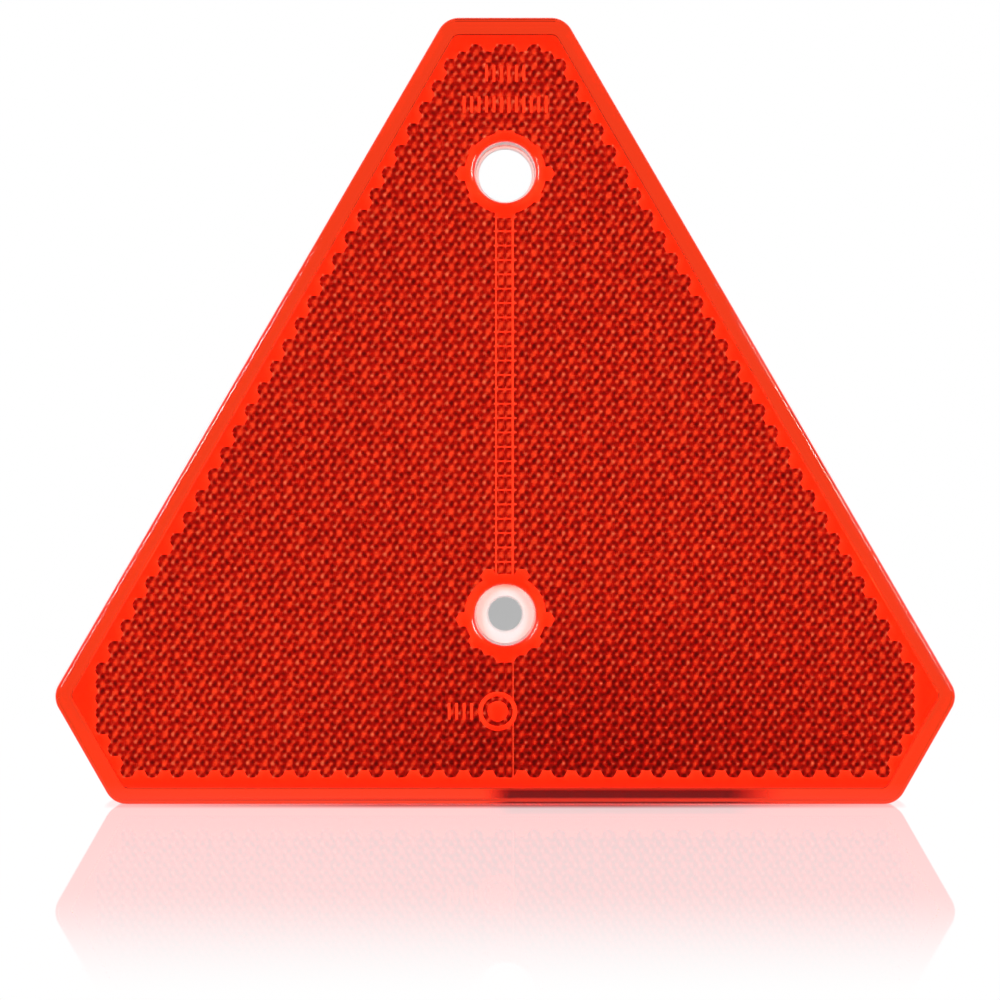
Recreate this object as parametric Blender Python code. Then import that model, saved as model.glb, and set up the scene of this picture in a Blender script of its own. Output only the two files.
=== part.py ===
"""A triangular trailer reflector, made as its two mouldings: a clear red lens and the white plate behind it.

The part stands on its lower edge, with X across it, Z up and its smooth face towards -Y.
The origin is the middle of the lower edge. All sizes are in metres.
"""

import math

import bmesh
import bpy
from mathutils import Vector

# The outline is a triangle with its three corners cut off. Widths are taken before the corners are rounded.
HEIGHT = 0.1364
TIP_WIDTH = 0.1573
TIP_HEIGHT = 0.0187
BASE_WIDTH = 0.1359
TOP_WIDTH = 0.0206
CORNER_RADIUS = 0.0040
LEAST_CORNER_RADIUS = 0.0008

# Depths, counted back from the smooth face.
THICKNESS = 0.0080
FRONT_EDGE_RADIUS = 0.0006
WINDOW_WALL = 0.0024
PLATE_THICKNESS = 0.0020

# Widths on the inner side of the lens, and the play that the plate has in its seat.
RIM_LAND = 0.0045
SKIRT_WALL = 0.0024
SEAT_GAP = 0.0003
PLATE_LEAD_IN = 0.0004

# The prism cells: hexagons with two level sides, measured across those sides.
CELL_PITCH = 0.0032

# The two screw holes, on the centre line: the upper one hangs from the top corner.
UPPER_HOLE_BELOW_TOP = 0.0268
LOWER_HOLE_HEIGHT = 0.0328
BORE_DIAMETER = 0.0106
BORE_TAPER = 0.0006
BORE_EDGE_RADIUS = 0.0006
BOSS_WALL = 0.0021
UPPER_PLATE_HOLE = 0.0093
LOWER_PLATE_HOLE = 0.0059

# The ladder rib that joins the two bosses, where the left and right prism fields meet.
RAIL_SPACING = 0.00266
RAIL_WIDTH = 0.0006
RUNG_WIDTH = 0.0005

# How finely round forms are divided, and how far a cutter runs past what it cuts.
CORNER_STEPS = 6
EDGE_STEPS = 3
ROUND_STEPS = 32
OVERCUT = 0.001
WITHIN = 0.000001

FRONT = -THICKNESS / 2
BACK = THICKNESS / 2
PLATE_FRONT = BACK - PLATE_THICKNESS
LAND = PLATE_FRONT - SEAT_GAP
PRISM_FLOOR = FRONT + WINDOW_WALL
UPPER_HOLE_HEIGHT = HEIGHT - UPPER_HOLE_BELOW_TOP
BORE_RADIUS = BORE_DIAMETER / 2
BOSS_RADIUS = BORE_RADIUS + BOSS_WALL


def remove_everything():
    for thing in list(bpy.data.objects):
        bpy.data.objects.remove(thing, do_unlink=True)


def material(name, colour, roughness, transmission, ior):
    made = bpy.data.materials.new(name)
    made.use_nodes = True
    made.diffuse_color = (*colour, 1)
    shader = made.node_tree.nodes["Principled BSDF"]
    shader.inputs["Base Color"].default_value = (*colour, 1)
    shader.inputs["Roughness"].default_value = roughness
    shader.inputs["Metallic"].default_value = 0
    shader.inputs["Transmission Weight"].default_value = transmission
    shader.inputs["IOR"].default_value = ior
    return made


def placed(name, mesh_builder):
    """Turns a finished bmesh into an object of that name, with its faces pointing out."""
    bmesh.ops.recalc_face_normals(mesh_builder, faces=mesh_builder.faces)
    mesh = bpy.data.meshes.new(name)
    mesh_builder.to_mesh(mesh)
    mesh_builder.free()
    thing = bpy.data.objects.new(name, mesh)
    bpy.context.scene.collection.objects.link(thing)
    return thing


def outline_corners():
    """The six sharp corners as (x, z), anticlockwise as seen from the front."""
    base, tip, top = BASE_WIDTH / 2, TIP_WIDTH / 2, TOP_WIDTH / 2
    right = [Vector((base, 0)), Vector((tip, TIP_HEIGHT)), Vector((top, HEIGHT))]
    left = [Vector((-corner.x, corner.y)) for corner in reversed(right)]
    return right + left


def outline_sides():
    """Each straight side as the corner where it starts and the normal that points into the outline."""
    corners = outline_corners()
    found = []
    for start, end in zip(corners, corners[1:] + corners[:1]):
        along = (end - start).normalized()
        found.append((start, Vector((-along.y, along.x))))
    return found


def outline_ring(inset, depth):
    """The rounded outline moved inwards by inset, as points at that depth."""
    radius = max(CORNER_RADIUS - inset, LEAST_CORNER_RADIUS)
    normals = [normal for start, normal in outline_sides()]
    points = []
    for corner, before, after in zip(outline_corners(), normals[-1:] + normals, normals):
        centre = corner + (inset + radius) * (before + after) / (1 + before.dot(after))
        first = math.atan2(-before.y, -before.x)
        turn = math.atan2(before.cross(after), before.dot(after))
        for step in range(CORNER_STEPS + 1):
            angle = first + turn * step / CORNER_STEPS
            points.append(Vector((centre.x + radius * math.cos(angle), depth, centre.y + radius * math.sin(angle))))
    return points


def round_ring(radius, depth, height):
    """A circle about the level axis at that height on the centre line, as points at that depth."""
    angles = [math.tau * step / ROUND_STEPS for step in range(ROUND_STEPS)]
    return [Vector((radius * math.cos(a), depth, height + radius * math.sin(a))) for a in angles]


def lofted(name, rings):
    """A closed solid through rings of equal counts of points, with flat ends."""
    builder = bmesh.new()
    made = [[builder.verts.new(point) for point in ring] for ring in rings]
    for near, far in zip(made, made[1:]):
        for i in range(len(near)):
            builder.faces.new((near[i - 1], near[i], far[i], far[i - 1]))
    builder.faces.new(made[0])
    builder.faces.new(made[-1])
    return placed(name, builder)


def boxes(name, spans):
    """Plain blocks in one object, each from its span of x and of z, from inside the window wall to the land."""
    builder = bmesh.new()
    low_y, high_y = FRONT + WINDOW_WALL / 2, LAND
    for (low_x, high_x), (low_z, high_z) in spans:
        block = bmesh.ops.create_cube(builder, size=1)["verts"]
        size = Vector((high_x - low_x, high_y - low_y, high_z - low_z))
        middle = Vector((low_x + high_x, low_y + high_y, low_z + high_z)) / 2
        for corner in block:
            corner.co = middle + corner.co * size
    return placed(name, builder)


def combine(target, tool, operation):
    """Adds a Boolean to target and hides its tool."""
    step = target.modifiers.new(f"{operation.lower()} {tool.name}", "BOOLEAN")
    step.operation = operation
    step.solver = "EXACT"
    step.object = tool
    tool.hide_render = True
    tool.display_type = "WIRE"


def rounded_blank():
    """The lens before its inner side is formed, with the rounded edge round its smooth face."""
    rings = []
    for step in range(EDGE_STEPS + 1):
        angle = math.pi / 2 * step / EDGE_STEPS
        inset = FRONT_EDGE_RADIUS * (1 - math.sin(angle))
        rings.append(outline_ring(inset, FRONT + FRONT_EDGE_RADIUS * (1 - math.cos(angle))))
    rings.append(outline_ring(0, BACK))
    return lofted("lens", rings)


def plate_seat():
    """What the skirt leaves free behind the land, where the plate goes."""
    return lofted("seat cutter", [outline_ring(SKIRT_WALL, LAND), outline_ring(SKIRT_WALL, BACK + OVERCUT)])


def cell_centre(column, row):
    """The middle of a cell as (x, z). Every second column stands half a cell higher."""
    across = column * CELL_PITCH * math.sqrt(3) / 2
    return Vector((across, RIM_LAND + (row + 0.5 + column % 2 / 2) * CELL_PITCH))


def cell_corners(column, row):
    """The six corners of a cell as (x, z), the first at its right and the rest anticlockwise."""
    side = CELL_PITCH / math.sqrt(3)
    centre = cell_centre(column, row)
    angles = [math.tau * k / 6 for k in range(6)]
    return [centre + side * Vector((math.cos(angle), math.sin(angle))) for angle in angles]


def holds_prism(column, row):
    """Whether a whole cell lies inside the rim land and clear of both bosses."""
    for corner in cell_corners(column, row):
        for start, inward in outline_sides():
            if (corner - start).dot(inward) < RIM_LAND - WITHIN:
                return False
        for height in (UPPER_HOLE_HEIGHT, LOWER_HOLE_HEIGHT):
            if (corner - Vector((0, height))).length < BOSS_RADIUS:
                return False
    return True


def prism_rows():
    return range(math.ceil(HEIGHT / CELL_PITCH))


def prism_insert():
    """The mould insert that forms the prisms: hexagonal pins side by side, each with the corner of a cube in its end.

    The cube's corner is the furthest point from the smooth face. Round it, every second corner of the
    hexagon lies a third of the cube's diagonal nearer, and the others lie on the prism floor.
    """
    third = CELL_PITCH / math.sqrt(6)
    furthest = math.ceil(TIP_WIDTH / CELL_PITCH / math.sqrt(3))
    builder = bmesh.new()
    shared = {}

    def vertex(spot, depth):
        key = (round(spot.x / WITHIN), round(depth / WITHIN), round(spot.y / WITHIN))
        if key not in shared:
            shared[key] = builder.verts.new((spot.x, depth, spot.y))
        return shared[key]

    for column in range(-furthest, furthest + 1):
        for row in prism_rows():
            if not holds_prism(column, row):
                continue
            apex = vertex(cell_centre(column, row), PRISM_FLOOR + 2 * third)
            ring = []
            for k, spot in enumerate(cell_corners(column, row)):
                ring.append(vertex(spot, PRISM_FLOOR + (0 if k % 2 else third)))
            for k in (0, 2, 4):
                builder.faces.new((apex, ring[k], ring[k + 1], ring[(k + 2) % 6]))
    pins = bmesh.ops.extrude_face_region(builder, geom=builder.faces[:])["geom"]
    for part in pins:
        if isinstance(part, bmesh.types.BMVert):
            part.co.y = LAND + OVERCUT
    return placed("prism insert", builder)


def ladder_rails():
    """The two thin upright walls that run from boss to boss."""
    middle_of_boss = (BORE_RADIUS + BOSS_RADIUS) / 2
    span = (LOWER_HOLE_HEIGHT + middle_of_boss, UPPER_HOLE_HEIGHT - middle_of_boss)
    half = RAIL_WIDTH / 2
    return boxes("ladder rails", [((x - half, x + half), span) for x in (-RAIL_SPACING / 2, RAIL_SPACING / 2)])


def ladder_rungs():
    """The short cross walls between the rails, each where two cells of the middle column meet."""
    spans = []
    for row in prism_rows():
        meeting = cell_centre(0, row).y - CELL_PITCH / 2
        between = LOWER_HOLE_HEIGHT < meeting < UPPER_HOLE_HEIGHT
        if between and holds_prism(0, row - 1) and holds_prism(0, row):
            spans.append((meeting - RUNG_WIDTH / 2, meeting + RUNG_WIDTH / 2))
    return boxes("ladder rungs", [((-RAIL_SPACING / 2, RAIL_SPACING / 2), span) for span in spans])


def bore_cutter(name, height):
    """A screw recess through the lens: its mouth is rounded, and it narrows towards the plate."""
    rings = [round_ring(BORE_RADIUS + BORE_EDGE_RADIUS, FRONT - OVERCUT, height)]
    for step in range(EDGE_STEPS + 1):
        angle = math.pi / 2 * step / EDGE_STEPS
        radius = BORE_RADIUS + BORE_EDGE_RADIUS * (1 - math.sin(angle))
        rings.append(round_ring(radius, FRONT + BORE_EDGE_RADIUS * (1 - math.cos(angle)), height))
    rings.append(round_ring(BORE_RADIUS - BORE_TAPER / 2, LAND + OVERCUT, height))
    return lofted(name, rings)


def make_lens():
    lens = rounded_blank()
    combine(lens, plate_seat(), "DIFFERENCE")
    combine(lens, prism_insert(), "DIFFERENCE")
    combine(lens, ladder_rails(), "UNION")
    combine(lens, ladder_rungs(), "UNION")
    combine(lens, bore_cutter("upper bore cutter", UPPER_HOLE_HEIGHT), "DIFFERENCE")
    combine(lens, bore_cutter("lower bore cutter", LOWER_HOLE_HEIGHT), "DIFFERENCE")
    lens.data.materials.append(material("clear red acrylic", (0.80, 0.02, 0.01), 0.08, 0.6, 1.49))
    return lens


def make_back_plate():
    """The plate that closes the lens at the back, flush with its skirt, with the two screw holes."""
    edge = SKIRT_WALL + SEAT_GAP
    front_ring = outline_ring(edge + PLATE_LEAD_IN, PLATE_FRONT)
    plate = lofted("back_plate", [
        front_ring,
        outline_ring(edge, PLATE_FRONT + PLATE_LEAD_IN),
        outline_ring(edge, BACK),
    ])
    for name, diameter, height in (
        ("upper plate hole", UPPER_PLATE_HOLE, UPPER_HOLE_HEIGHT),
        ("lower plate hole", LOWER_PLATE_HOLE, LOWER_HOLE_HEIGHT),
    ):
        ends = [round_ring(diameter / 2, depth, height) for depth in (PLATE_FRONT - OVERCUT, BACK + OVERCUT)]
        combine(plate, lofted(name, ends), "DIFFERENCE")
    plate.data.materials.append(material("white plastic", (0.85, 0.85, 0.83), 0.45, 0, 1.5))
    return plate


remove_everything()
make_lens()
make_back_plate()
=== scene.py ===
"""The finished look of a triangular trailer reflector: clear red lens and white back plate."""

import math

import bmesh
import bpy
from mathutils import Matrix, Vector


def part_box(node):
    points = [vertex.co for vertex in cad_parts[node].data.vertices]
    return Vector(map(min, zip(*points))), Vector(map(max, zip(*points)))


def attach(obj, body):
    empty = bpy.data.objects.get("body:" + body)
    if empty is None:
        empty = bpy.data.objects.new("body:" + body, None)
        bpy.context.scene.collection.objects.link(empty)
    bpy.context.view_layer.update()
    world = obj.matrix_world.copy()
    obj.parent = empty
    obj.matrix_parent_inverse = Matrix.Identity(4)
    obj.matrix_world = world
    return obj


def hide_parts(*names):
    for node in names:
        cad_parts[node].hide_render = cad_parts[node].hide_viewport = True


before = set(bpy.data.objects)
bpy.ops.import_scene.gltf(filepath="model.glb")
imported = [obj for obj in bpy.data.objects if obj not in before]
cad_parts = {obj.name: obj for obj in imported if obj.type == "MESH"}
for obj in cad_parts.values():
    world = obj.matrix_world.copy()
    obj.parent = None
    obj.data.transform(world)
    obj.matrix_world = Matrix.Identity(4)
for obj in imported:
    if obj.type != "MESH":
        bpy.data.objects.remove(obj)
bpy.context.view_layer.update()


# The camera looks level at the reflector's smooth face, from the middle of the photograph's frame.
# The frame is square, and one of its thousand pixels is PIXEL wide where the reflector stands.
PIXEL = 0.0001733
VIEW_DISTANCE = 0.6
MIDDLE_ACROSS = -0.0009
MIDDLE_UP = 0.05275
FRAME_PIXELS = 1000
SENSOR_WIDTH = 36
NEAREST_SEEN = 0.01
lens_low, lens_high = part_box("lens")


def placed(name, data):
    """A new object in the scene, with that name and data."""
    thing = bpy.data.objects.new(name, data)
    bpy.context.scene.collection.objects.link(thing)
    return thing


camera = placed("camera", bpy.data.cameras.new("camera"))
camera.location = (MIDDLE_ACROSS, lens_low.y - VIEW_DISTANCE, MIDDLE_UP)
camera.rotation_euler = (math.pi / 2, 0, 0)
camera.data.sensor_width = SENSOR_WIDTH
camera.data.lens = SENSOR_WIDTH * VIEW_DISTANCE / (PIXEL * FRAME_PIXELS)
camera.data.clip_start = NEAREST_SEEN
bpy.context.scene.camera = camera


# The blank of the lens is a triangle with its three corners cut off, moulded in clear red acrylic.
# The edge of its smooth face is rounded, and a skirt runs round its back to take the plate.
HEIGHT = lens_high.z - lens_low.z
FRONT, BACK = lens_low.y, lens_high.y
TIP_WIDTH = 0.1573
TIP_HEIGHT = 0.0187
BASE_WIDTH = 0.1359
TOP_WIDTH = 0.0206
CORNER_RADIUS = 0.0040
LEAST_CORNER_RADIUS = 0.0008
FRONT_EDGE_RADIUS = 0.0006
SKIRT_WALL = 0.0024
PLATE_THICKNESS = 0.0020
SEAT_GAP = 0.0003
LAND = BACK - PLATE_THICKNESS - SEAT_GAP
CORNER_STEPS = 12
EDGE_STEPS = 8
OVERCUT = 0.001


def outline_corners():
    """The six sharp corners as (x, z), anticlockwise as seen from the front."""
    base, tip, top = BASE_WIDTH / 2, TIP_WIDTH / 2, TOP_WIDTH / 2
    right = [Vector((base, 0)), Vector((tip, TIP_HEIGHT)), Vector((top, HEIGHT))]
    return right + [Vector((-corner.x, corner.y)) for corner in reversed(right)]


def outline_sides():
    """Each straight side as the corner where it starts and its normal, which points inwards."""
    corners = outline_corners()
    sides = []
    for start, end in zip(corners, corners[1:] + corners[:1]):
        along = (end - start).normalized()
        sides.append((start, Vector((-along.y, along.x))))
    return sides


def outline_ring(inset, depth):
    """The rounded outline moved inwards by inset, as points at that depth."""
    radius = max(CORNER_RADIUS - inset, LEAST_CORNER_RADIUS)
    normals = [normal for start, normal in outline_sides()]
    points = []
    for corner, before, after in zip(outline_corners(), normals[-1:] + normals, normals):
        centre = corner + (inset + radius) * (before + after) / (1 + before.dot(after))
        first = math.atan2(-before.y, -before.x)
        turn = math.atan2(before.cross(after), before.dot(after))
        for step in range(CORNER_STEPS + 1):
            angle = first + turn * step / CORNER_STEPS
            offset = radius * Vector((math.cos(angle), math.sin(angle)))
            points.append((centre.x + offset.x, depth, centre.y + offset.y))
    return points


def lofted(name, rings):
    """A closed solid through rings of equal counts of points, with flat ends."""
    shape = bmesh.new()
    made = [[shape.verts.new(point) for point in ring] for ring in rings]
    for near, far in zip(made, made[1:]):
        for i in range(len(near)):
            shape.faces.new((near[i - 1], near[i], far[i], far[i - 1]))
    shape.faces.new(made[0])
    shape.faces.new(made[-1])
    bmesh.ops.recalc_face_normals(shape, faces=shape.faces)
    mesh = bpy.data.meshes.new(name)
    shape.to_mesh(mesh)
    shape.free()
    return placed(name, mesh)


blank_rings = []
for step in range(EDGE_STEPS + 1):
    angle = math.pi / 2 * step / EDGE_STEPS
    inset = FRONT_EDGE_RADIUS * (1 - math.sin(angle))
    blank_rings.append(outline_ring(inset, FRONT + FRONT_EDGE_RADIUS * (1 - math.cos(angle))))
blank_rings.append(outline_ring(0, BACK))
lens_blank = lofted("lens blank", blank_rings)
seat_ends = [outline_ring(SKIRT_WALL, depth) for depth in (LAND, BACK + OVERCUT)]
plate_seat = lofted("plate seat", seat_ends)


# The prisms are formed by a mould insert: hexagonal pins side by side, each ending in a cube's
# corner. The left and right fields are mirror images that meet at the middle. They leave the rim
# and a boss round each screw hole smooth.
PRISM_PITCH = 0.0025
WINDOW_WALL = 0.0024
FIRST_ROW = 0.0045
RIM_LAND = 0.0035
FIELD_REACH = 0.0710
UPPER_HOLE_HEIGHT = 0.1096
LOWER_HOLE_HEIGHT = 0.0328
BOSS_RADIUS = 0.0071
BOSS_CLEARANCE = 0.0074
PRISM_FLOOR = FRONT + WINDOW_WALL
PRISM_STEP = PRISM_PITCH / math.sqrt(6)
PRISM_SIDE = PRISM_PITCH / math.sqrt(3)
COLUMN_STEP = PRISM_PITCH * math.sqrt(3) / 2
FIRST_COLUMN = PRISM_SIDE / 2
MERGE_WITHIN = 0.00002

cell_shape = bmesh.new()
apex = cell_shape.verts.new((0, PRISM_FLOOR + 2 * PRISM_STEP, 0))
rim_of_cell = []
for k in range(6):
    depth = PRISM_FLOOR if k % 2 else PRISM_FLOOR + PRISM_STEP
    x, z = PRISM_SIDE * math.cos(math.tau * k / 6), PRISM_SIDE * math.sin(math.tau * k / 6)
    rim_of_cell.append(cell_shape.verts.new((x, depth, z)))
for k in (0, 2, 4):
    cell_shape.faces.new((apex, rim_of_cell[k], rim_of_cell[k + 1], rim_of_cell[(k + 2) % 6]))
cell_mesh = bpy.data.meshes.new("prism cell")
cell_shape.to_mesh(cell_mesh)
cell_shape.free()
prism_cell = placed("prism cell", cell_mesh)


def node(tree, kind, operation, *values):
    """Adds a node, sets or links its first inputs, and gives its outputs."""
    made = tree.nodes.new(kind)
    if operation:
        made.operation = operation
    for socket, value in zip(made.inputs, values):
        if isinstance(value, bpy.types.NodeSocket):
            tree.links.new(value, socket)
        elif value is not None:
            socket.default_value = value
    return made.outputs


def number(tree, operation, *values):
    return node(tree, "ShaderNodeMath", operation, *values)[0]


def prism_field_tree():
    """Sets a cell on each place of a hexagonal grid that is clear of the rim and both holes."""
    tree = bpy.data.node_groups.new("prism field", "GeometryNodeTree")
    for name, kind in (
        ("Cell", "NodeSocketObject"),
        ("Finish", "NodeSocketMaterial"),
        ("Pitch", "NodeSocketFloat"),
        ("First Column", "NodeSocketFloat"),
        ("First Row", "NodeSocketFloat"),
        ("Columns", "NodeSocketInt"),
        ("Rows", "NodeSocketInt"),
        ("Rim Land", "NodeSocketFloat"),
        ("Boss Clearance", "NodeSocketFloat"),
        ("Upper Hole", "NodeSocketFloat"),
        ("Lower Hole", "NodeSocketFloat"),
    ):
        tree.interface.new_socket(name, in_out="INPUT", socket_type=kind)
    tree.interface.new_socket("Field", in_out="OUTPUT", socket_type="NodeSocketGeometry")
    given = tree.nodes.new("NodeGroupInput").outputs

    index = node(tree, "GeometryNodeInputIndex", None)[0]
    column = number(tree, "FLOOR", number(tree, "DIVIDE", index, given["Rows"]))
    row = number(tree, "MODULO", index, given["Rows"])
    half_step = number(tree, "MULTIPLY_ADD", number(tree, "MODULO", column, 2), 0.5, 0.5)
    columns_in = number(tree, "MULTIPLY", column, COLUMN_STEP / PRISM_PITCH)
    across = number(tree, "MULTIPLY_ADD", columns_in, given["Pitch"], given["First Column"])
    rows_up = number(tree, "ADD", row, half_step)
    up = number(tree, "MULTIPLY_ADD", rows_up, given["Pitch"], given["First Row"])
    place = node(tree, "ShaderNodeCombineXYZ", None, across, 0.0, up)[0]
    count = number(tree, "MULTIPLY", given["Columns"], given["Rows"])
    grid = node(tree, "GeometryNodePoints", None, count, place)[0]

    position = node(tree, "GeometryNodeInputPosition", None)[0]
    lacking = 0.0
    cell_turns = [math.tau * k / 6 for k in range(6)]
    cell_corners = [Vector((math.cos(turn), math.sin(turn))) for turn in cell_turns]
    for corner, inward in outline_sides():
        side_start, side_axis = (corner.x, 0, corner.y), (inward.x, 0, inward.y)
        from_start = node(tree, "ShaderNodeVectorMath", "SUBTRACT", position, side_start)[0]
        distance = node(tree, "ShaderNodeVectorMath", "DOT_PRODUCT", from_start, side_axis)[1]
        farthest = max(-inward.dot(cell_corner) for cell_corner in cell_corners)
        reach = farthest * PRISM_SIDE / PRISM_PITCH
        needed = number(tree, "MULTIPLY_ADD", given["Pitch"], reach, given["Rim Land"])
        short = number(tree, "SUBTRACT", number(tree, "SUBTRACT", needed, distance), MERGE_WITHIN)
        lacking = number(tree, "MAXIMUM", lacking, short)
    for hole in ("Upper Hole", "Lower Hole"):
        middle = node(tree, "ShaderNodeCombineXYZ", None, 0.0, 0.0, given[hole])[0]
        distance = node(tree, "ShaderNodeVectorMath", "DISTANCE", position, middle)[1]
        short = number(tree, "SUBTRACT", given["Boss Clearance"], distance)
        lacking = number(tree, "MAXIMUM", lacking, short)
    kept = node(tree, "GeometryNodeDeleteGeometry", None, grid, lacking)[0]

    cell = tree.nodes.new("GeometryNodeObjectInfo")
    tree.links.new(given["Cell"], cell.inputs["Object"])
    cells = tree.nodes.new("GeometryNodeInstanceOnPoints")
    tree.links.new(kept, cells.inputs["Points"])
    tree.links.new(cell.outputs["Geometry"], cells.inputs["Instance"])
    real_cells = node(tree, "GeometryNodeRealizeInstances", None, cells.outputs[0])[0]
    joined = node(tree, "GeometryNodeMergeByDistance", None, real_cells)[0]
    joined.node.inputs["Distance"].default_value = MERGE_WITHIN
    finished = tree.nodes.new("GeometryNodeSetMaterial")
    tree.links.new(joined, finished.inputs["Geometry"])
    tree.links.new(given["Finish"], finished.inputs["Material"])
    tree.links.new(finished.outputs[0], tree.nodes.new("NodeGroupOutput").inputs["Field"])
    return tree


def plain_mesh(thing, name):
    """The mesh that an object's modifiers make of it, as a new object in its place."""
    bpy.context.view_layer.update()
    evaluated = thing.evaluated_get(bpy.context.evaluated_depsgraph_get())
    mesh = bpy.data.meshes.new_from_object(evaluated)
    bpy.data.objects.remove(thing)
    return placed(name, mesh)


facet_finish = bpy.data.materials.new("red prism facets")
field = placed("prism field", bpy.data.meshes.new("prism field"))
field_maker = field.modifiers.new("prisms", "NODES")
field_maker.node_group = prism_field_tree()
field_sizes = {
    "Cell": prism_cell,
    "Finish": facet_finish,
    "Pitch": PRISM_PITCH,
    "First Column": FIRST_COLUMN,
    "First Row": FIRST_ROW,
    "Columns": math.ceil((FIELD_REACH - FIRST_COLUMN) / COLUMN_STEP),
    "Rows": math.ceil(HEIGHT / PRISM_PITCH),
    "Rim Land": RIM_LAND,
    "Boss Clearance": BOSS_CLEARANCE,
    "Upper Hole": UPPER_HOLE_HEIGHT,
    "Lower Hole": LOWER_HOLE_HEIGHT,
}
for socket in field_maker.node_group.interface.items_tree:
    if socket.in_out == "INPUT":
        field_maker[socket.identifier] = field_sizes[socket.name]
halves = field.modifiers.new("halves", "MIRROR")
halves.use_bisect_axis[0] = True
halves.bisect_threshold = MERGE_WITHIN / 10
halves.merge_threshold = MERGE_WITHIN
field = plain_mesh(field, "prism field")
bpy.data.objects.remove(prism_cell)

insert_shape = bmesh.new()
insert_shape.from_mesh(field.data)
pins = bmesh.ops.extrude_face_region(insert_shape, geom=insert_shape.faces[:])["geom"]
for part in pins:
    if isinstance(part, bmesh.types.BMVert):
        part.co.y = LAND + OVERCUT
bmesh.ops.recalc_face_normals(insert_shape, faces=insert_shape.faces)
insert_shape.to_mesh(field.data)
insert_shape.free()


# Where the two fields meet, a thin ladder of walls joins the bosses round the screw holes, and one
# rail runs on to the lower rim. Rows of short plain strokes and a plain ring stand for lettering.
RAIL_PLACES = ((-0.00160, 0.00030), (0.00131, 0.00040))
RUNG_WIDTH = 0.0003
RUNG_REACH = 0.0020
LOW_RAIL_PLACE = 0.00140
LOW_RAIL_WIDTH = 0.00022
STROKE_ROWS = ((0.0000, 0.1270, 6), (0.0000, 0.1216, 12), (-0.0078, 0.0160, 4))
STROKE_WIDTH = 0.00050
STROKE_HEIGHT = 0.0029
STROKE_STEP = 0.0013
THROUGH_INSERT = (FRONT + WINDOW_WALL / 2, LAND + 2 * OVERCUT)


def walls(name, spans):
    """Upright walls in one object, each from its span of x and of z, right through the insert."""
    shape = bmesh.new()
    low_y, high_y = THROUGH_INSERT
    for (low_x, high_x), (low_z, high_z) in spans:
        block = bmesh.ops.create_cube(shape, size=1)["verts"]
        size = Vector((high_x - low_x, high_y - low_y, high_z - low_z))
        middle = Vector((low_x + high_x, low_y + high_y, low_z + high_z)) / 2
        for corner in block:
            corner.co = middle + corner.co * size
    mesh = bpy.data.meshes.new(name)
    shape.to_mesh(mesh)
    shape.free()
    return placed(name, mesh)


ladder_low = LOWER_HOLE_HEIGHT + BOSS_RADIUS - OVERCUT
ladder_high = UPPER_HOLE_HEIGHT - BOSS_RADIUS + OVERCUT
ladder_span = (ladder_low, ladder_high)
low_rail_span = (FIRST_ROW - OVERCUT, LOWER_HOLE_HEIGHT - BOSS_RADIUS + OVERCUT)
rail_spans = [((x - width / 2, x + width / 2), ladder_span) for x, width in RAIL_PLACES]
low_rail = (LOW_RAIL_PLACE - LOW_RAIL_WIDTH / 2, LOW_RAIL_PLACE + LOW_RAIL_WIDTH / 2)
rails = walls("ladder rails", rail_spans + [(low_rail, low_rail_span)])
rung_spans = []
for row in range(math.ceil(HEIGHT / PRISM_PITCH)):
    meeting = FIRST_ROW + row * PRISM_PITCH
    upright = (meeting - RUNG_WIDTH / 2, meeting + RUNG_WIDTH / 2)
    if ladder_low < upright[0] and upright[1] < ladder_high:
        rung_spans.append(((-RUNG_REACH, RUNG_REACH), upright))
rungs = walls("ladder rungs", rung_spans)
stroke_spans = []
for middle, height, count in STROKE_ROWS:
    upright = (height - STROKE_HEIGHT / 2, height + STROKE_HEIGHT / 2)
    for i in range(count):
        x = middle + (i - (count - 1) / 2) * STROKE_STEP
        stroke_spans.append(((x - STROKE_WIDTH / 2, x + STROKE_WIDTH / 2), upright))
smooth_parts = [rails, rungs, walls("plain strokes", stroke_spans)]


# Each screw hole is a recess through the lens. Its mouth is rounded, and it narrows towards the
# plate. The plain ring and its middle are cut out of the insert here too.
BORE_RADIUS = 0.0053
BORE_TAPER = 0.0003
BORE_EDGE_RADIUS = 0.0006
ROUND_STEPS = 96
MARK_PLACE = (-0.0013, 0.0160)
MARK_RADIUS = 0.0034
MARK_LINE = 0.0008
MARK_MIDDLE = 0.0018


def round_ring(radius, depth, height):
    """A circle about the level axis at that height on the centre line, as points at that depth."""
    angles = [math.tau * (step + 0.5) / ROUND_STEPS for step in range(ROUND_STEPS)]
    return [(radius * math.cos(a), depth, height + radius * math.sin(a)) for a in angles]


def combine(target, tool, operation):
    """Adds a Boolean to target and hides its tool."""
    step = target.modifiers.new(tool.name, "BOOLEAN")
    step.operation = operation
    step.solver = "EXACT"
    step.object = tool
    tool.hide_render = True


def smooth_round(across, height, radius):
    """A round pin right through the insert, which leaves solid acrylic there."""
    pin_ends = [round_ring(radius, depth, height) for depth in THROUGH_INSERT]
    pin = lofted("smooth round", pin_ends)
    pin.data.transform(Matrix.Translation((across, 0, 0)))
    return pin


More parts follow.
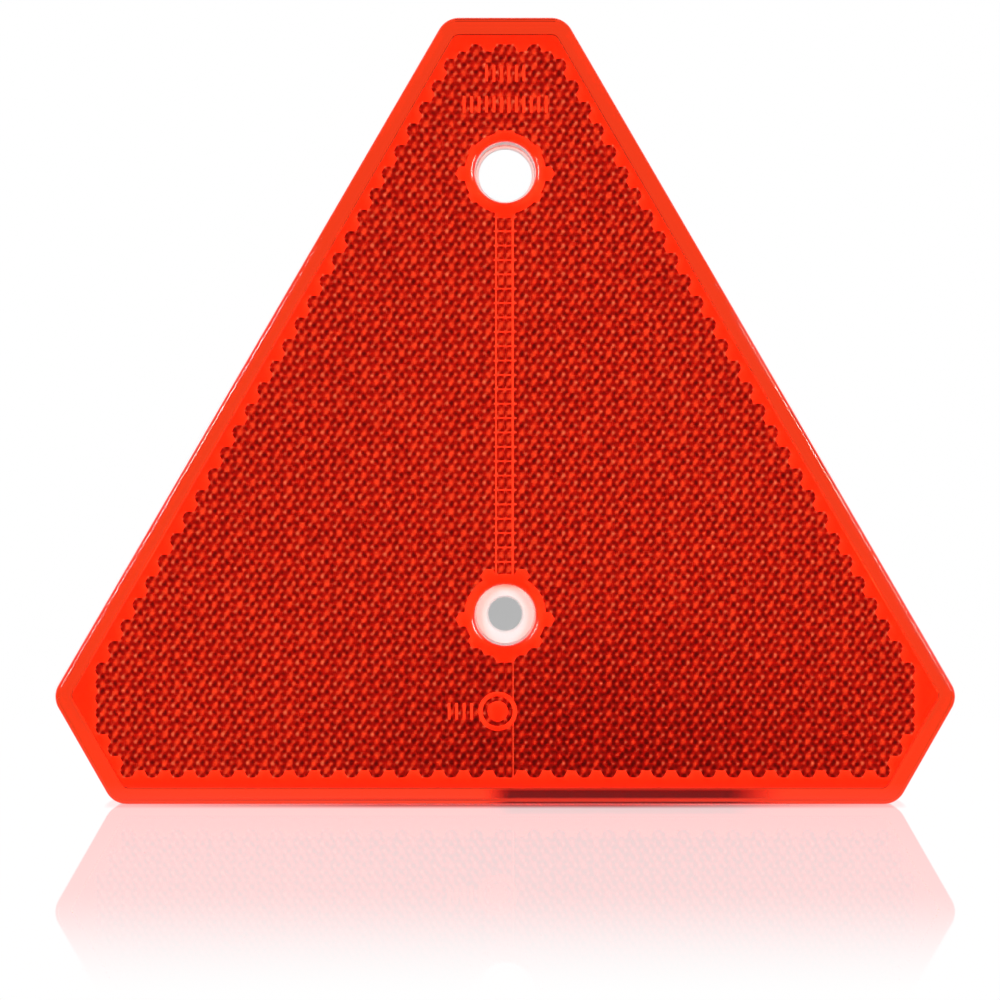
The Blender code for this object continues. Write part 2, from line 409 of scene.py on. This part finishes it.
for height in (UPPER_HOLE_HEIGHT, LOWER_HOLE_HEIGHT):
    smooth_parts.append(smooth_round(0, height, BOSS_RADIUS))
mark_ring = smooth_round(*MARK_PLACE, MARK_RADIUS)
ring_depths = (FRONT, BACK + OVERCUT)
ring_ends = [round_ring(MARK_RADIUS - MARK_LINE, y, MARK_PLACE[1]) for y in ring_depths]
ring_hole = lofted("ring hole", ring_ends)
ring_hole.data.transform(Matrix.Translation((MARK_PLACE[0], 0, 0)))
combine(mark_ring, ring_hole, "DIFFERENCE")
smooth_parts += [mark_ring, smooth_round(*MARK_PLACE, MARK_MIDDLE)]
for smooth_part in smooth_parts:
    combine(field, smooth_part, "DIFFERENCE")
combine(lens_blank, plate_seat, "DIFFERENCE")
combine(lens_blank, field, "DIFFERENCE")
lens_tools = [plate_seat, field, ring_hole] + smooth_parts
for height in (UPPER_HOLE_HEIGHT, LOWER_HOLE_HEIGHT):
    bore_rings = [round_ring(BORE_RADIUS + BORE_EDGE_RADIUS, FRONT - OVERCUT, height)]
    for step in range(EDGE_STEPS + 1):
        angle = math.pi / 2 * step / EDGE_STEPS
        radius = BORE_RADIUS + BORE_EDGE_RADIUS * (1 - math.sin(angle))
        depth = FRONT + BORE_EDGE_RADIUS * (1 - math.cos(angle))
        bore_rings.append(round_ring(radius, depth, height))
    bore_rings.append(round_ring(BORE_RADIUS - BORE_TAPER, LAND + OVERCUT, height))
    bore = lofted("screw recess", bore_rings)
    combine(lens_blank, bore, "DIFFERENCE")
    lens_tools.append(bore)


# The acrylic is clear and polished, and its depth makes it red. Its back is dark and opaque along
# part of the lower edge. The light that the cube corners send back is painted into the facets'
# colour, as bright and dark patches on each prism, no two quite alike. Painted shade makes the
# field a little dimmer above the dark band.
ACRYLIC_IOR = 1.49
ACRYLIC_ROUGHNESS = 0.02
DEPTH_TINT = (0.996, 0.37, 0.07, 1)
DEPTH_DENSITY = 600
# The near-black colour of the back of the skirt along part of the lower edge.
LOWER_EDGE_DARK = (0.14, 0.010, 0.005, 1)
DARK_BAND_ACROSS = ((-0.0045, 0.0012), (0.0385, 0.0500))
DARK_BAND_UP = ((0.0003, 0.0008), (0.0018, 0.0026))
FACET_ROUGHNESS = 0.30
FACET_SPECULAR = 0.2
# Painted light: the facets' colours, from their darkest patches to their brightest, stand for the
# light the cube corners send back.
PAINTED_FACET_LIGHT_COLOURS = (
    (0.0, (0.10, 0.0006, 0.0004, 1)),
    (0.5, (0.42, 0.07, 0.08, 1)),
    (1.0, (0.78, 1.0, 1.0, 1)),
)
PAINTED_FACET_LIGHT_MEAN = 0.51
PAINTED_FACET_LIGHT_WAVES = (
    (1.5, -1, 0.22), (1.5, 1, 0.13), (0.5, -1, 0.11), (0.5, 1, 0.07), (1, 0, 0.08),
    (0, 2, 0.10), (2, 0, -0.05), (1, 2, -0.06), (1, -2, -0.06),
)
PAINTED_FACET_LIGHT_SPREAD = 0.34
FACET_TURN = 0.6
FACET_PASS = (1, 0.45, 0.35, 1)
PATCH = (COLUMN_STEP / 4, 1, PRISM_PITCH / 4)
# Painted shade over the lower part of the field.
PAINTED_SHADE_DEPTH = 0.21
PAINTED_SHADE_ACROSS = ((-0.045, 0.010), (0.018, 0.090))
PAINTED_SHADE_UP = ((-0.002, -0.001), (0.000, 0.045))
FACET_LEAN = 1 / math.sqrt(3)
LEAN_WITHIN = 0.01
LEVEL_FROM = 0.999
SHARP_ANGLE = math.radians(30)


def coordinates(tree, kind):
    """The x, y and z of the texture coordinates of that kind."""
    place = node(tree, "ShaderNodeTexCoord", None)[kind]
    return node(tree, "ShaderNodeSeparateXYZ", None, place)


def clear_to_lamps(material, look, passed):
    """Lets the lamps' light through, in that colour, as a clear solid does."""
    tree = material.node_tree
    for_lamps = node(tree, "ShaderNodeLightPath", None)["Is Shadow Ray"]
    passing = node(tree, "ShaderNodeBsdfTransparent", None, passed)[0]
    surface = node(tree, "ShaderNodeMixShader", None, for_lamps, look.outputs[0], passing)[0]
    tree.links.new(surface, tree.nodes["Material Output"].inputs["Surface"])


def soft_patch(tree, patch, spans):
    """Fades a patch in and out along each place, from the limits of its start and of its end."""
    for place, (start, full), (wane, end) in spans:
        for limits in ((start, full, 0.0, 1.0), (wane, end, 1.0, 0.0)):
            share = node(tree, "ShaderNodeMapRange", None, place, *limits)[0]
            share.node.interpolation_type = "SMOOTHSTEP"
            patch = number(tree, "MULTIPLY", patch, share)
    return patch


def finished_piece(blank, name, tools, finishes):
    """The blank with its cuts made, under the piece's own name and with its materials."""
    piece = plain_mesh(blank, name)
    for tool in tools:
        bpy.data.objects.remove(tool)
    piece.data.materials.clear()
    for finish in finishes:
        piece.data.materials.append(finish)
    return piece


def shade_rounds(piece):
    """Smooth shading on the rounds, and none on level faces and on the facets."""
    piece.data.shade_smooth()
    piece.data.set_sharp_from_angle(angle=SHARP_ANGLE)
    for face in piece.data.polygons:
        if abs(face.normal.y) > LEVEL_FROM or face.material_index == 1:
            face.use_smooth = False


clear_red = bpy.data.materials.new("clear red acrylic")
clear_red.use_nodes = True
acrylic = clear_red.node_tree.nodes["Principled BSDF"]
acrylic.inputs["Transmission Weight"].default_value = 1
acrylic.inputs["Roughness"].default_value = ACRYLIC_ROUGHNESS
acrylic.inputs["IOR"].default_value = ACRYLIC_IOR
clear_to_lamps(clear_red, acrylic, (1, 1, 1, 1))
tree = clear_red.node_tree
x, y, z = coordinates(tree, "Object")
# Darker along part of the lower edge: there the back of the skirt turns opaque and near black.
at_back = number(tree, "GREATER_THAN", y, BACK - MERGE_WITHIN)
dark_band = soft_patch(tree, at_back, ((x, *DARK_BAND_ACROSS), (z, *DARK_BAND_UP)))
band_colour = tree.nodes.new("ShaderNodeValToRGB")
band_colour.color_ramp.elements[0].color = (1, 1, 1, 1)
band_colour.color_ramp.elements[1].color = LOWER_EDGE_DARK
tree.links.new(dark_band, band_colour.inputs[0])
tree.links.new(band_colour.outputs[0], acrylic.inputs["Base Color"])
tree.links.new(number(tree, "SUBTRACT", 1.0, dark_band), acrylic.inputs["Transmission Weight"])
depth_colour = node(tree, "ShaderNodeVolumeAbsorption", None, DEPTH_TINT, DEPTH_DENSITY)[0]
tree.links.new(depth_colour, tree.nodes["Material Output"].inputs["Volume"])

facet_finish.use_nodes = True
tree = facet_finish.node_tree
facet = tree.nodes["Principled BSDF"]
facet.inputs["Roughness"].default_value = FACET_ROUGHNESS
facet.inputs["Specular IOR Level"].default_value = FACET_SPECULAR
facet.inputs["IOR"].default_value = ACRYLIC_IOR
x, y, z = coordinates(tree, "Object")
across = number(tree, "MULTIPLY_ADD", number(tree, "SIGN", x), -FIRST_COLUMN, x)
up = number(tree, "SUBTRACT", z, FIRST_ROW + PRISM_PITCH / 2)
from_cell = node(tree, "ShaderNodeCombineXYZ", None, across, 0.0, up)[0]
own_patch = node(tree, "ShaderNodeVectorMath", "SNAP", from_cell, PATCH)[0]
chance = node(tree, "ShaderNodeTexWhiteNoise", None, own_patch)[0]
# Painted light: each patch's level is a random share plus waves across the grid of prisms.
painted_light_level = number(tree, "MULTIPLY_ADD", chance, PAINTED_FACET_LIGHT_SPREAD, PAINTED_FACET_LIGHT_MEAN - PAINTED_FACET_LIGHT_SPREAD / 2)
for columns, rows, strength in PAINTED_FACET_LIGHT_WAVES:
    direction = (math.tau * columns / COLUMN_STEP, 0, math.tau * rows / PRISM_PITCH)
    phase = node(tree, "ShaderNodeVectorMath", "DOT_PRODUCT", from_cell, direction)[1]
    painted_light_level = number(tree, "MULTIPLY_ADD", number(tree, "COSINE", phase), strength, painted_light_level)
# Painted shade: the painted light is lowered a little over the field's lower part, above the dark
# band.
painted_shade = soft_patch(tree, PAINTED_SHADE_DEPTH, ((x, *PAINTED_SHADE_ACROSS), (z, *PAINTED_SHADE_UP)))
painted_light_level = number(tree, "SUBTRACT", painted_light_level, painted_shade)
painted_facet_light = tree.nodes.new("ShaderNodeValToRGB")
painted_facet_light.color_ramp.elements.new(PAINTED_FACET_LIGHT_COLOURS[1][0])
for stop, (place, colour) in zip(painted_facet_light.color_ramp.elements, PAINTED_FACET_LIGHT_COLOURS):
    stop.position = place
    stop.color = colour
tree.links.new(painted_light_level, painted_facet_light.inputs[0])
tree.links.new(painted_facet_light.outputs[0], facet.inputs["Base Color"])
own_way = node(tree, "ShaderNodeNewGeometry", None)["Normal"]
own_share, front_share = (1 - FACET_TURN,) * 3, (0, -FACET_TURN, 0)
turned = node(tree, "ShaderNodeVectorMath", "MULTIPLY_ADD", own_way, own_share, front_share)[0]
shaded_way = node(tree, "ShaderNodeVectorMath", "NORMALIZE", turned)[0]
tree.links.new(shaded_way, facet.inputs["Normal"])
clear_to_lamps(facet_finish, facet, FACET_PASS)

clear_lens = finished_piece(lens_blank, "clear_lens", lens_tools, (clear_red, facet_finish))
shallowest = PRISM_FLOOR - MERGE_WITHIN
deepest = PRISM_FLOOR + 2 * PRISM_STEP + MERGE_WITHIN
for face in clear_lens.data.polygons:
    depths = [clear_lens.data.vertices[v].co.y for v in face.vertices]
    leaning = abs(abs(face.normal.y) - FACET_LEAN) < LEAN_WITHIN
    among = shallowest < min(depths) and max(depths) < deepest
    face.material_index = 1 if leaning and among else 0
shade_rounds(clear_lens)
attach(clear_lens, "root")
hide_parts("lens")


# The back plate is one moulding in white plastic, let into the skirt and welded there. It has a
# lead-in round its front edge, a wide hole behind the upper recess and a small one at the lower.
PLATE_LEAD_IN = 0.0002
PLATE_SIDE_GAP = 0.0001
UPPER_PLATE_HOLE = 0.0093
LOWER_PLATE_HOLE = 0.0059
HOLE_EDGE = 0.0003
PLATE_FRONT = BACK - PLATE_THICKNESS
PLATE_COLOUR = (0.90, 0.90, 0.89, 1)
PLATE_ROUGHNESS = 0.42
GRAIN_SCALE = 2600
GRAIN_DETAIL = 3
GRAIN_STRENGTH = 0.12
GRAIN_DEPTH = 0.0002
plate_edge = SKIRT_WALL + PLATE_SIDE_GAP
plate_blank = lofted("plate blank", [
    outline_ring(plate_edge + PLATE_LEAD_IN, PLATE_FRONT),
    outline_ring(plate_edge, PLATE_FRONT + PLATE_LEAD_IN),
    outline_ring(plate_edge, BACK),
])
plate_tools = []
for diameter, height in (
    (UPPER_PLATE_HOLE, UPPER_HOLE_HEIGHT),
    (LOWER_PLATE_HOLE, LOWER_HOLE_HEIGHT),
):
    radius = diameter / 2
    hole = lofted("plate hole", [
        round_ring(radius + HOLE_EDGE + OVERCUT, PLATE_FRONT - OVERCUT, height),
        round_ring(radius, PLATE_FRONT + HOLE_EDGE, height),
        round_ring(radius, BACK - HOLE_EDGE, height),
        round_ring(radius + HOLE_EDGE + OVERCUT, BACK + OVERCUT, height),
    ])
    combine(plate_blank, hole, "DIFFERENCE")
    plate_tools.append(hole)
white_plastic = bpy.data.materials.new("white plastic")
white_plastic.use_nodes = True
tree = white_plastic.node_tree
plastic = tree.nodes["Principled BSDF"]
plastic.inputs["Base Color"].default_value = PLATE_COLOUR
plastic.inputs["Roughness"].default_value = PLATE_ROUGHNESS
place = node(tree, "ShaderNodeTexCoord", None)["Object"]
grain = node(tree, "ShaderNodeTexNoise", None, place)[0]
grain.node.inputs["Scale"].default_value = GRAIN_SCALE
grain.node.inputs["Detail"].default_value = GRAIN_DETAIL
bump = tree.nodes.new("ShaderNodeBump")
bump.inputs["Strength"].default_value = GRAIN_STRENGTH
bump.inputs["Distance"].default_value = GRAIN_DEPTH
tree.links.new(grain, bump.inputs["Height"])
tree.links.new(bump.outputs[0], plastic.inputs["Normal"])
white_plate = finished_piece(plate_blank, "white_plate", plate_tools, (white_plastic,))
shade_rounds(white_plate)
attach(white_plate, "root")
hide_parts("back_plate")


# The floor is a polished white sheet. The reflector is mirrored in it, and the mirror image fades
# out towards the camera. A painted red glow in the mirror image stands for the red light that the
# lens throws on it, and a painted shadow runs along the reflector's foot. Far behind the
# reflector, where only the lower screw hole shows it, the floor keeps its own grey.
FLOOR_HALF = 3
WHITE = (1, 1, 1, 1)
MATT_WHITE = (0.9, 0.9, 0.9, 1)
# The colour of the painted red glow on the floor.
PAINTED_RED_GLOW = (1, 0, 0, 1)
FLOOR_ROUGHNESS = 0.02
MIRROR_NEAR = 0.38
MIRROR_LOSS = 0.55
MIRROR_FADE_START = 0.13
MIRROR_FADE_END = 0.24
# The shadow along the reflector's foot is painted: a grey matt mixed in by distance from the lower
# edge, paler towards the ends.
SHADOW_GREY = (0.35, 0.35, 0.35, 1)
SHADOW_START = 0.007
SHADOW_END = 0.0125
SHADOW_END_STEEPNESS = 8
SHADOW_PALER_FROM = 0.02
SHADOW_PALER = 0.7
RED_SHARE = 0.5
HIDDEN_WIDTH = 0.03
HIDDEN_FROM = 0.55
DIM_FRONT = 0.05
DIM_FRONT_REACH = 0.05
square = ((-1, -1), (1, -1), (1, 1), (-1, 1))
floor_corners = [(x * FLOOR_HALF, y * FLOOR_HALF, 0) for x, y in square]
floor_mesh = bpy.data.meshes.new("floor")
floor_mesh.from_pydata(floor_corners, [], [(0, 1, 2, 3)])
floor = placed("floor", floor_mesh)
floor_white = bpy.data.materials.new("polished white floor")
floor_white.use_nodes = True
floor_mesh.materials.append(floor_white)
tree = floor_white.node_tree
tree.nodes.remove(tree.nodes["Principled BSDF"])
x, y, z = coordinates(tree, "Object")
from_middle = number(tree, "ABSOLUTE", x)
distances = []
for half_width, steepness in ((TIP_WIDTH / 2, 1), (BASE_WIDTH / 2, SHADOW_END_STEEPNESS)):
    past_end = number(tree, "MAXIMUM", number(tree, "SUBTRACT", from_middle, half_width), 0.0)
    steep = number(tree, "MULTIPLY", past_end, steepness)
    past = node(tree, "ShaderNodeCombineXYZ", None, steep, y)[0]
    distances.append(node(tree, "ShaderNodeVectorMath", "LENGTH", past)[1])
away, from_edge = distances
fade_limits = (MIRROR_FADE_START, MIRROR_FADE_END, 1.0, 0.0)
fade = node(tree, "ShaderNodeMapRange", None, away, *fade_limits)[0]
fade.node.interpolation_type = "SMOOTHSTEP"
mirrored = number(tree, "MULTIPLY_ADD", away, -MIRROR_LOSS, MIRROR_NEAR)
mirror_share = number(tree, "MULTIPLY", mirrored, fade)
pale_limits = (SHADOW_PALER_FROM, BASE_WIDTH / 2, 0.0, SHADOW_PALER)
pale = node(tree, "ShaderNodeMapRange", None, from_middle, *pale_limits)[0]
lit_limits = (SHADOW_START, SHADOW_END, pale, 1.0)
lit = node(tree, "ShaderNodeMapRange", None, from_edge, *lit_limits)[0]
beside = number(tree, "GREATER_THAN", from_middle, HIDDEN_WIDTH)
open_floor = number(tree, "MAXIMUM", beside, number(tree, "LESS_THAN", y, HIDDEN_FROM))
white_matt = node(tree, "ShaderNodeBsdfDiffuse", None, MATT_WHITE)[0]
white_glow = node(tree, "ShaderNodeEmission", None)[0]
mirror = node(tree, "ShaderNodeBsdfGlossy", None, WHITE)[0]
mirror.node.inputs["Roughness"].default_value = FLOOR_ROUGHNESS
dim_limits = (-DIM_FRONT_REACH, DIM_FRONT_REACH, DIM_FRONT, 1.0)
dim_front = node(tree, "ShaderNodeMapRange", None, y, *dim_limits)[0]
as_mirrored = node(tree, "ShaderNodeEmission", None, WHITE, dim_front)[0]
# Painted shadow: the grey matt that is mixed in along the reflector's foot.
shadow = node(tree, "ShaderNodeBsdfDiffuse", None, SHADOW_GREY)[0]
sheet = node(tree, "ShaderNodeMixShader", None, open_floor, white_matt, white_glow)[0]
shaded = node(tree, "ShaderNodeMixShader", None, lit, shadow, sheet)[0]
polished = node(tree, "ShaderNodeMixShader", None, mirror_share, shaded, mirror)[0]
# Painted reflection: a red glow where the mirror image is, for the red light of the lens.
red_level = number(tree, "MULTIPLY", mirror_share, RED_SHARE)
red_glow = node(tree, "ShaderNodeEmission", None, PAINTED_RED_GLOW, red_level)[0]
seen = node(tree, "ShaderNodeAddShader", None, polished, red_glow)[0]
ray = node(tree, "ShaderNodeLightPath", None)
straight = number(tree, "MAXIMUM", ray["Is Camera Ray"], ray["Is Transmission Ray"])
glossy = ray["Is Glossy Ray"]
others = node(tree, "ShaderNodeMixShader", None, glossy, white_matt, as_mirrored)[0]
either = node(tree, "ShaderNodeMixShader", None, straight, others, seen)[0]
tree.links.new(either, tree.nodes["Material Output"].inputs["Surface"])


# The room is white behind the reflector and dimmer on the camera's side, so that the polished face
# stays deep red.
ROOM_LEVEL = 0.5
DIM_SIDE = 0.05
DIM_UP_TO = -0.5
WHITE_FROM = 0.1
room = bpy.data.worlds.new("white room")
bpy.context.scene.world = room
room.use_nodes = True
tree = room.node_tree
x, y, z = coordinates(tree, "Generated")
to_back = node(tree, "ShaderNodeMapRange", None, y, DIM_UP_TO, WHITE_FROM, DIM_SIDE, 1.0)[0]
ray = node(tree, "ShaderNodeLightPath", None)
sharp = number(tree, "MAXIMUM", ray["Is Glossy Ray"], ray["Is Transmission Ray"])
by_kind = node(tree, "ShaderNodeMix", None, sharp, None, ROOM_LEVEL, to_back)[0]
strength = node(tree, "ShaderNodeMix", None, ray["Is Camera Ray"], None, by_kind, 1.0)[0]
background = tree.nodes["Background"]
background.inputs["Color"].default_value = WHITE
tree.links.new(strength, background.inputs["Strength"])


# Two soft lamps light the reflector from both sides of the camera. They stand wide enough apart
# that the polished face doesn't mirror them.
LAMP_SIZE = 0.22
LAMPS = (("left lamp", (-0.33, -0.95, 0.17), 4.1), ("right lamp", (0.33, -0.95, 0.15), 3.7))
for name, spot, power in LAMPS:
    lamp = placed(name, bpy.data.lights.new(name, "AREA"))
    lamp.data.size = LAMP_SIZE
    lamp.data.energy = power
    lamp.visible_camera = False
    lamp.location = spot
    to_lens = Vector((0, 0, HEIGHT / 2)) - Vector(spot)
    lamp.rotation_euler = to_lens.to_track_quat("-Z", "Y").to_euler()
bpy.context.scene.view_settings.view_transform = "Standard"
